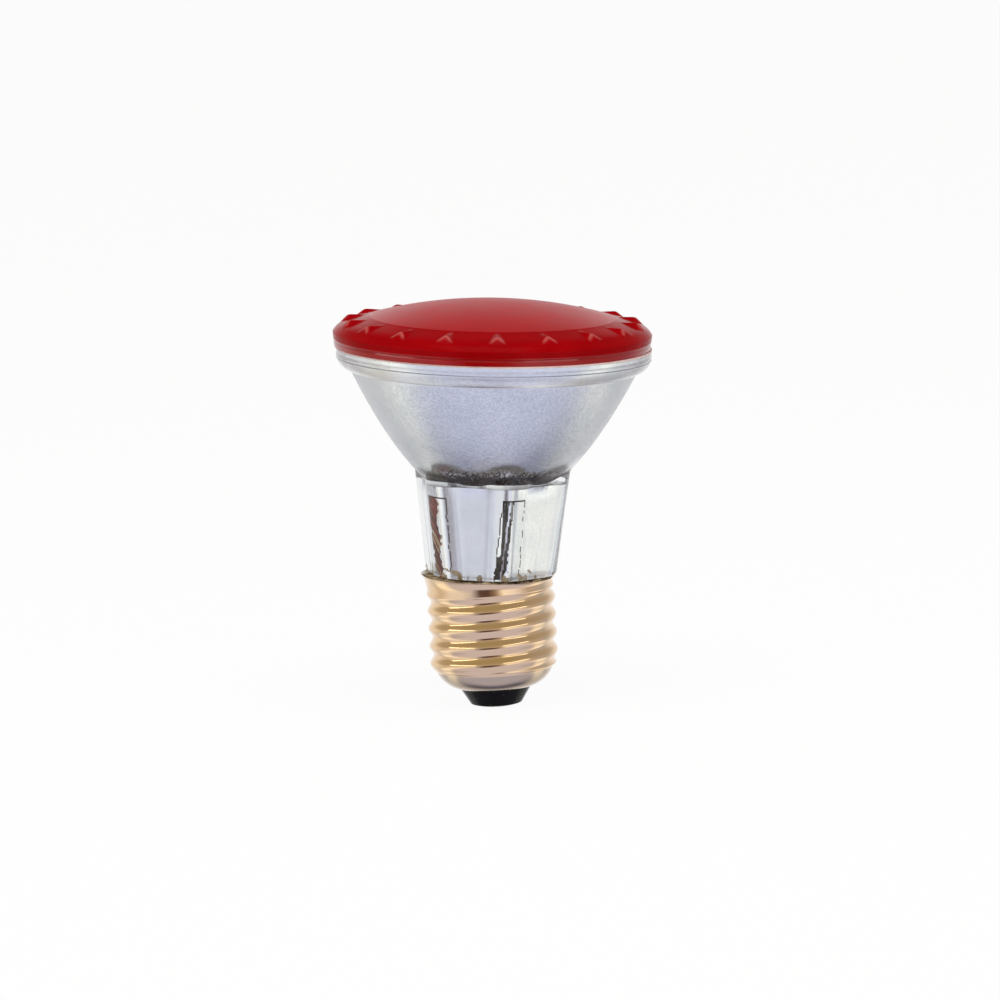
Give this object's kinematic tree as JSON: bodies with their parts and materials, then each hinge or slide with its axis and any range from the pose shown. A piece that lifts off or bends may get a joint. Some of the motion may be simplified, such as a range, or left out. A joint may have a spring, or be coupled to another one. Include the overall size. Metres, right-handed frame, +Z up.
{
  "type": "halogen PAR bulb",
  "caption": "Reflector spotlight bulb with a red domed glass lens, a silvered parabolic glass bowl, a clear faceted glass neck and a screw cap with a black insulated tip.",
  "frame": {"origin": "middle of the contact tip, on the axis of the screw cap", "axes": "+Z up along the screw cap's axis, from the contact tip towards the lens; the front of the picture is -Y, and the glass head leans towards +X"},
  "size_m": [0.0649, 0.065, 0.0831],
  "materials": {
    "red_glass": "pressed red glass, glossy outside",
    "clear_glass": "pressed clear glass with a metallised mirror inside the bowl",
    "silica_glass": "clear fused silica",
    "plated_cap": "thin bright plating over rolled brass, warm in tone",
    "black_glass": "glossy black vitrite",
    "adhesive": "cured bonding adhesive",
    "cement": "dull mineral cement",
    "nickel_wire": "drawn nickel-plated wire",
    "tungsten": "drawn tungsten wire",
    "molybdenum": "thin rolled foil and wire",
    "sleeve": "varnished woven glass sleeving, red-brown",
    "contact_metal": "pressed plated contact",
    "solder": "soft solder"
  },
  "bodies": {
    "root": {"front_lens": "red_glass", "lens_bond": "adhesive", "reflector": "clear_glass", "cap_shell": "plated_cap", "cap_insulator": "black_glass", "centre_contact": "contact_metal", "centre_solder": "solder", "side_solder": "solder", "basing_cement": "cement", "capsule": "silica_glass", "capsule_cement": "cement", "filament": "tungsten", "foil_left": "molybdenum", "foil_right": "molybdenum", "pin_left": "molybdenum", "pin_right": "molybdenum", "lead_side_upper": "nickel_wire", "lead_side_lower": "nickel_wire", "lead_centre": "nickel_wire", "fuse_link": "nickel_wire", "fuse_sleeve": "sleeve"}
  },
  "joints": []
}
